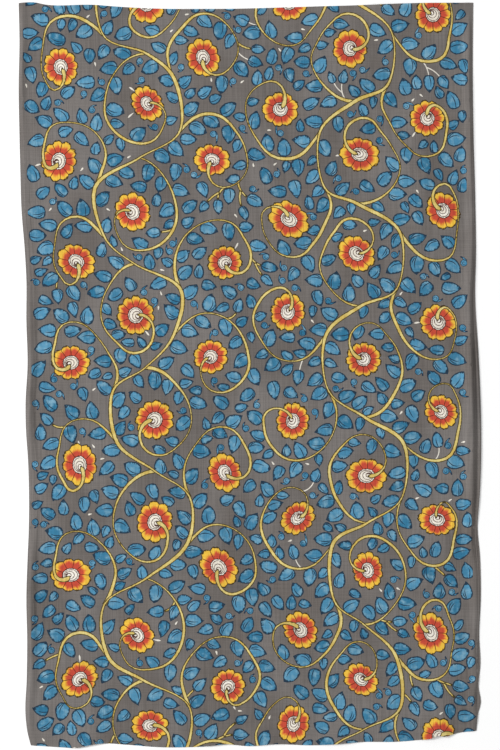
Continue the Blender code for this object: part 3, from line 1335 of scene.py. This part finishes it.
plane = np.vstack([front_place, back_place])
height = np.append(underside(*front_place.T) + THICKNESS, back_height(*back_place.T))
vertices = np.column_stack([plane, height]) * MM
triangles = np.vstack([front_faces, back_faces[:, ::-1] + offset, front_walls, back_walls])
top = np.concatenate([front_top, back_top, np.full(len(front_walls) + len(back_walls), -1)])
fronts, backs = len(front_faces), len(front_faces) + len(back_faces)

cloth_mesh = bpy.data.meshes.new("painted cloth")
cloth_mesh.vertices.add(len(vertices))
cloth_mesh.vertices.foreach_set("co", vertices.ravel())
cloth_mesh.loops.add(triangles.size)
cloth_mesh.loops.foreach_set("vertex_index", triangles.ravel().astype(np.int32))
cloth_mesh.polygons.add(len(triangles))
cloth_mesh.polygons.foreach_set("loop_start", np.arange(0, triangles.size, 3, dtype=np.int32))
cloth_mesh.update(calc_edges=True)
uses = np.unique(sides_of(triangles, len(plane))[1], return_counts=True)[1]
print("triangles:", len(triangles), "and edges without two of them:", int((uses != 2).sum()))

# %% Distance of every corner from the edge of its patch
NO_EDGE = 50.0


def round_the_flower(points, centre, turned, radius, petals):
    """Distance from the heart in radii, and the count of petals passed on the way round.

    Each triangle counts on from its first corner, so none spans the end of the count.
    """
    away = points - onto_cloth(centre[None])
    x, y = (away @ way / radius for way in frame_of(turned))
    passed = (np.arctan2(y, x) / TURN * petals).reshape(-1, 3)
    passed = passed[:, :1] + (passed - passed[:, :1] + petals / 2) % petals - petals / 2
    return np.stack([np.hypot(x, y), passed.ravel()], axis=1)


corner_top = np.repeat(top, 3)
corner_place = plane[triangles.ravel()]
edge_mm = np.full(len(corner_top), NO_EDGE)
motif = np.zeros((len(corner_top), 2))
order = np.argsort(corner_top, kind="stable")
limits = np.searchsorted(corner_top[order], np.arange(len(patches) + 1))
for number, patch in enumerate(patches):
    mine = order[limits[number]:limits[number + 1]]
    if len(mine):
        edge_mm[mine] = distances_to_loop(corner_place[mine], shapes[number])[0].min(axis=1)
    if len(mine) and patch.flower:
        motif[mine] = round_the_flower(corner_place[mine], *patch.flower)
edge_mm[3 * fronts:] = NO_EDGE
print("corners with a distance:", int((edge_mm < NO_EDGE).sum()))

# %% Attributes on the corners
BACK_STRENGTH = 0.42

tones = np.array([patch.tone for patch in patches] + [0.5])
strength = np.full(len(corner_top), 1.0)
strength[3 * fronts:] = BACK_STRENGTH
for name, values in (("edge_mm", edge_mm), ("tone", tones[corner_top]), ("strength", strength)):
    layer = cloth_mesh.attributes.new(name, "FLOAT", "CORNER")
    layer.data.foreach_set("value", values.astype(np.float32))

paint_of = np.array([patch.paint for patch in patches] + [0])
paints = paint_of[top]
cloth_mesh.polygons.foreach_set("material_index", paints.astype(np.int32))
print("triangles of each paint:")
print(dict(zip(PAINTS, np.bincount(paints, minlength=len(PAINTS)).tolist())))

# %% [markdown]
# Three flat maps go with the mesh. The first lays the front, the back and the rim side by
# side on one square without overlaps, for baking. The second gives each corner its place
# along the threads, which lean with the cloth. The third is the way round each flower.

# %% Maps on the corners
BAKE_SIDE = 1860.0
FRONT_SHIFT = (574.0, 924.0)
BACK_SHIFT = (573.0, 923.0)
BACK_LEFT, BACK_LOW = 0.627, 0.004
BACK_WIDTH = 0.37
BACK_SCALE = BACK_WIDTH / 1146.0
RIM_LOW, RIM_HEIGHT = 0.75, 0.02

bake = (corner_place + FRONT_SHIFT) / BAKE_SIDE
under = slice(3 * fronts, 3 * backs)
bake[under] = (BACK_LEFT, BACK_LOW) + (corner_place[under] + BACK_SHIFT) * BACK_SCALE
past_start = (meets_front == 0) & (back_way > rim_length / 2)
meets_way = np.where(past_start, rim_length, front_way[meets_front])
rim_way = np.concatenate([
    np.stack([front_next, front_way, back_way[meets_back]], axis=1).ravel(),
    np.stack([back_way, back_next, meets_way], axis=1).ravel(),
])
on_front = [np.tile([1.0, 1.0, 0.0], len(front_walls)), np.tile([0.0, 0.0, 1.0], len(back_walls))]
bake[3 * backs:, 0] = BACK_LEFT + BACK_WIDTH * rim_way / rim_length
bake[3 * backs:, 1] = RIM_LOW + RIM_HEIGHT * np.concatenate(on_front)
thread = corner_place - np.stack([lean(corner_place[:, 1]), 0 * corner_place[:, 1]], axis=1)
for name, places in (("OFBake", bake), ("Thread", thread * MM), ("Motif", motif)):
    layer = cloth_mesh.uv_layers.new(name=name)
    layer.uv.foreach_set("vector", places.astype(np.float32).ravel())
print("maps:", [layer.name for layer in cloth_mesh.uv_layers])

# %% Smooth light on both sides
SLOPE_REACH = 0.4


def slope_normals(points, side):
    """Upward or downward normals of the sheet, from its height a little way off."""
    x, y = points.T
    rise_x = underside(x + SLOPE_REACH, y) - underside(x - SLOPE_REACH, y)
    rise_y = underside(x, y + SLOPE_REACH) - underside(x, y - SLOPE_REACH)
    slopes = [-rise_x / (2 * SLOPE_REACH), -rise_y / (2 * SLOPE_REACH), np.ones(len(points))]
    normals = np.column_stack(slopes) * side
    return normals / np.linalg.norm(normals, axis=1)[:, None]


point_normals = np.vstack([slope_normals(front_place, 1), slope_normals(back_place, -1)])
corner_normals = point_normals[triangles.ravel()]
a, b, c = (vertices[triangles[backs:, k]] for k in range(3))
wall_normals = np.cross(b - a, c - a)
wall_normals /= np.maximum(np.linalg.norm(wall_normals, axis=1), 1e-12)[:, None]
corner_normals[3 * backs:] = np.repeat(wall_normals, 3, axis=0)
cloth_mesh.polygons.foreach_set("use_smooth", np.ones(len(triangles), bool))
cloth_mesh.normals_split_custom_set(corner_normals.tolist())
steepest = float(np.degrees(np.arccos(point_normals[:offset, 2].min())))
print("steepest slope:", round(steepest, 1), "degrees")

# %% [markdown]
# ## Paint and weave
#
# All the paints share one cotton. A node group gives its slubs, the thicker threads that
# show as faint upright streaks, and the cloudy patches of hand dyeing. A second group
# turns the stored distance into an inked outline, which wavers like a pen. A third lays a
# paint over the cotton and lets it fade on the back.

# %% Small helpers for node trees
def linear(code):
    """A colour written as six hex digits, as the linear numbers that shaders take."""
    value = np.array([int(code[i:i + 2], 16) for i in (0, 2, 4)]) / 255
    value = np.where(value <= 0.04045, value / 12.92, ((value + 0.055) / 1.055) ** 2.4)
    return (*value.tolist(), 1.0)


def add_node(tree, kind, inputs=(), **settings):
    """Add a node, with its settings and what goes into its inputs, by their place or name.

    An input takes a number, a colour as six hex digits, or a link from a socket.
    """
    node = tree.nodes.new("ShaderNode" + kind)
    for name, value in settings.items():
        setattr(node, name, value)
    for place, value in dict(inputs).items():
        if isinstance(value, bpy.types.NodeSocket):
            tree.links.new(value, node.inputs[place])
        else:
            node.inputs[place].default_value = linear(value) if isinstance(value, str) else value
    return node


def mixed(tree, factor, first, second, blend="MIX"):
    """Mix two colours. Each of the three may be a number, a colour or a socket."""
    inputs = {0: factor, 6: first, 7: second}
    return add_node(tree, "Mix", inputs, data_type="RGBA", blend_type=blend).outputs[2]


def figure(tree, operation, *values):
    """One step of arithmetic on numbers or sockets."""
    return add_node(tree, "Math", enumerate(values), operation=operation).outputs[0]


def between(tree, value, low, high, new_low=0.0, new_high=1.0):
    """Read a value on a new scale, smoothly and without leaving it."""
    inputs = enumerate((value, low, high, new_low, new_high))
    return add_node(tree, "MapRange", inputs, interpolation_type="SMOOTHSTEP").outputs[0]


def stored(tree, name):
    """One of the numbers stored on the mesh."""
    return add_node(tree, "Attribute", attribute_name=name).outputs["Fac"]


def stored_map(tree, name):
    """The places of one stored map."""
    return add_node(tree, "UVMap", uv_map=name).outputs[0]


def noise(tree, name, stretch, detail=2.0):
    """Soft noise on a stored map, with its own number of cells across and along."""
    inputs = {0: stored_map(tree, name), 1: (*stretch, 1.0)}
    scaled = add_node(tree, "VectorMath", inputs, operation="MULTIPLY").outputs[0]
    inputs = {"Vector": scaled, "Scale": 1.0, "Detail": detail, "Roughness": 0.55}
    return add_node(tree, "TexNoise", inputs).outputs[0]


def new_group(name, inputs, outputs):
    """An empty node group, with its sockets as (kind, name) pairs."""
    tree = bpy.data.node_groups.new(name, "ShaderNodeTree")
    for direction, sockets in (("INPUT", inputs), ("OUTPUT", outputs)):
        for kind, label in sockets:
            tree.interface.new_socket(label, in_out=direction, socket_type="NodeSocket" + kind)
    return tree, tree.nodes.new("NodeGroupInput"), tree.nodes.new("NodeGroupOutput")


print("navy in linear numbers:", [round(value, 3) for value in linear("213648")])

# %% Group: the cotton
UPRIGHT_CELLS, LEVEL_CELLS = (330.0, 9.0), (11.0, 300.0)
GRAIN_CELLS, CLOUD_CELLS = (560.0, 560.0), (9.0, 5.0)
UPRIGHT_SHARE, LEVEL_SHARE, GRAIN_SHARE = 0.5, 0.25, 0.25
SLUB_RANGE, CLOUD_RANGE = (0.36, 0.64), (0.35, 0.65)

cotton, _, cotton_out = new_group(
    "cotton", [], [("Float", "Slub"), ("Float", "Cloud"), ("Float", "Height")]
)
upright = noise(cotton, "Thread", UPRIGHT_CELLS, 3.0)
level = noise(cotton, "Thread", LEVEL_CELLS)
grain = noise(cotton, "Thread", GRAIN_CELLS, 1.0)
slub = figure(cotton, "MULTIPLY", level, LEVEL_SHARE)
slub = figure(cotton, "MULTIPLY_ADD", upright, UPRIGHT_SHARE, slub)
slub = figure(cotton, "MULTIPLY_ADD", grain, GRAIN_SHARE, slub)
cotton.links.new(between(cotton, slub, *SLUB_RANGE), cotton_out.inputs["Slub"])
cloud = noise(cotton, "Thread", CLOUD_CELLS, 4.0)
cotton.links.new(between(cotton, cloud, *CLOUD_RANGE), cotton_out.inputs["Cloud"])
cotton.links.new(slub, cotton_out.inputs["Height"])
print("group made:", cotton.name)

# %% Group: an inked outline
PEN_CELLS = (210.0, 210.0)
PEN_WAVER, PEN_THINNEST = 2.1, -0.05
PEN_SOFTNESS = (0.75, 1.25)

ink, ink_in, ink_out = new_group("ink outline", [("Float", "Width")], [("Float", "Ink")])
pressure = noise(ink, "Thread", PEN_CELLS)
waver = figure(ink, "MULTIPLY_ADD", pressure, PEN_WAVER, PEN_THINNEST)
width = figure(ink, "MULTIPLY", ink_in.outputs["Width"], waver)
share = figure(ink, "DIVIDE", stored(ink, "edge_mm"), width)
ink.links.new(between(ink, share, *PEN_SOFTNESS, 1.0, 0.0), ink_out.inputs["Ink"])
print("group made:", ink.name)

# %% Group: paint on cotton
BACK_GROUND = "8A827A"
DARKEST, SLUB_SHADE, CLOUD_SHADE = 0.73, 0.3, 0.09

dye, dye_in, dye_out = new_group(
    "paint on cotton", [("Color", "Paint")], [("Color", "Color"), ("Float", "Height")]
)
weave = add_node(dye, "Group", node_tree=cotton).outputs
soaked = mixed(dye, stored(dye, "strength"), BACK_GROUND, dye_in.outputs["Paint"])
shade = figure(dye, "MULTIPLY_ADD", weave["Slub"], SLUB_SHADE, DARKEST)
shade = figure(dye, "MULTIPLY_ADD", weave["Cloud"], CLOUD_SHADE, shade)
grey = add_node(dye, "CombineColor", enumerate([shade] * 3)).outputs[0]
dye.links.new(mixed(dye, 1.0, soaked, grey, "MULTIPLY"), dye_out.inputs["Color"])
dye.links.new(weave["Height"], dye_out.inputs["Height"])
print("group made:", dye.name)

# %% A material of painted cotton
BUMP_STRENGTH = 0.25
BUMP_HEIGHT = 0.0004
COTTON_ROUGHNESS = 0.88
COTTON_SPECULAR = 0.2


def paint_material(name, colour_of):
    """A Principled cotton whose paint is what `colour_of` returns in its node tree."""
    material, shader = new_material(name + " on cotton", COTTON_ROUGHNESS, COTTON_SPECULAR)
    tree = material.node_tree
    painted = add_node(tree, "Group", {"Paint": colour_of(tree)}, node_tree=dye)
    tree.links.new(painted.outputs["Color"], shader.inputs["Base Color"])
    relief = add_node(tree, "Bump", {
        "Strength": BUMP_STRENGTH, "Distance": BUMP_HEIGHT, "Height": painted.outputs["Height"],
    })
    tree.links.new(relief.outputs["Normal"], shader.inputs["Normal"])
    return material


def plain(code):
    """A paint of one colour."""
    def colour_of(tree):
        node = add_node(tree, "RGB")
        node.outputs[0].default_value = linear(code)
        return node.outputs[0]
    return colour_of


def outlined(inner, line, width):
    """A paint with an inked line of that colour and width round each patch."""
    def colour_of(tree):
        pen = add_node(tree, "Group", node_tree=ink)
        pen.inputs["Width"].default_value = width
        return mixed(tree, pen.outputs["Ink"], inner(tree), line)
    return colour_of


print("bump up to", BUMP_HEIGHT / MM, "mm")

# %% The ground, the blue wash and the yellow of the vines
GROUNDS = ("69635F", "787370")
BLUES = ("2C7092", "5592B3", "7BA6BB")
YELLOWS = ("9C7E38", "DFCD84", "CFB45F")
GROUND_CELLS, WASH_CELLS, VINE_CELLS = (6.0, 3.0), (55.0, 55.0), (40.0, 40.0)
POOL_RANGE = (0.42, 0.74)
DARK_RIM = (0.8, 3.0)


def ground_colour(tree):
    """Grey brown, a little redder in large soft clouds."""
    cloud = noise(tree, "Thread", GROUND_CELLS, 3.0)
    return mixed(tree, between(tree, cloud, *CLOUD_RANGE), *GROUNDS)


def blue_wash(tree):
    """Blue wash, each patch a little different, and thinner where the brush ran dry."""
    pools = noise(tree, "Thread", WASH_CELLS, 3.0)
    wash = mixed(tree, stored(tree, "tone"), *BLUES[:2])
    return mixed(tree, between(tree, pools, *POOL_RANGE), wash, BLUES[2])


def vine_yellow(tree):
    """Yellow in two tones, deeper towards the edges."""
    patchy = noise(tree, "Thread", VINE_CELLS)
    middle = mixed(tree, between(tree, patchy, *CLOUD_RANGE), *YELLOWS[1:])
    return mixed(tree, between(tree, stored(tree, "edge_mm"), *DARK_RIM), YELLOWS[0], middle)


print("ground:", GROUNDS, "blue wash:", BLUES, "vines:", YELLOWS)

# %% The flowers' red and cream
REDS = ("C24B38", "DF8438", "EABD44")
CREAMS = ("E6DDCD", "F2ECE0")
BRUSH_CELLS, BRUSH_REACH, TONGUE_REACH = (2.2, 5.0), 0.36, 0.055
RED_TO_ORANGE, ORANGE_TO_YELLOW = (0.8, 0.93), (0.88, 1.02)


def petal_red(tree):
    """Yellow round the rim of each petal, brushed through orange into red at the heart.

    The map gives the distance from the heart and the petals passed. A cosine of the second
    draws the red out along the middle of each petal.
    """
    parts = add_node(tree, "SeparateXYZ", {0: stored_map(tree, "Motif")}).outputs
    tongue = figure(tree, "COSINE", figure(tree, "MULTIPLY", parts["Y"], TURN))
    brushed = noise(tree, "Motif", BRUSH_CELLS, 3.0)
    reach = figure(tree, "MULTIPLY_ADD", brushed, BRUSH_REACH, parts["X"])
    reach = figure(tree, "MULTIPLY_ADD", tongue, TONGUE_REACH, reach)
    warm = mixed(tree, between(tree, reach, *RED_TO_ORANGE), *REDS[:2])
    return mixed(tree, between(tree, reach, *ORANGE_TO_YELLOW), warm, REDS[2])


def heart_cream(tree):
    """Bare cotton left pale in the heart of the flower."""
    return mixed(tree, stored(tree, "tone"), *CREAMS)


print("petals:", REDS, "hearts:", CREAMS)

# %% One material for each paint, in the order of PAINTS
NAVY, DARK_NAVY, OLIVE, UMBER, MAROON = "213648", "1C3045", "453A1B", "3F311B", "4C2A26"
CHALK, RUSSET = "E4DFD3", "6E2C1E"

colours = (
    ground_colour,
    outlined(blue_wash, NAVY, 2.7),
    outlined(blue_wash, DARK_NAVY, 1.5),
    outlined(vine_yellow, OLIVE, 1.95),
    outlined(petal_red, UMBER, 2.4),
    outlined(heart_cream, MAROON, 1.6),
    plain(CHALK),
    plain(DARK_NAVY),
    plain(RUSSET),
)
for name, colour_of in zip(PAINTS, colours):
    cloth_mesh.materials.append(paint_material(name, colour_of))
print("materials:", len(cloth_mesh.materials))

# %% [markdown]
# ## Hand the cloth over
#
# The cloth rides on the one body and takes the place of the solid, which is hidden.

# %% The finished object
cloth = put_in_scene("painted_cloth", cloth_mesh)
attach(cloth, "root")
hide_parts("cloth")
print("cloth:", len(cloth_mesh.polygons), "triangles")
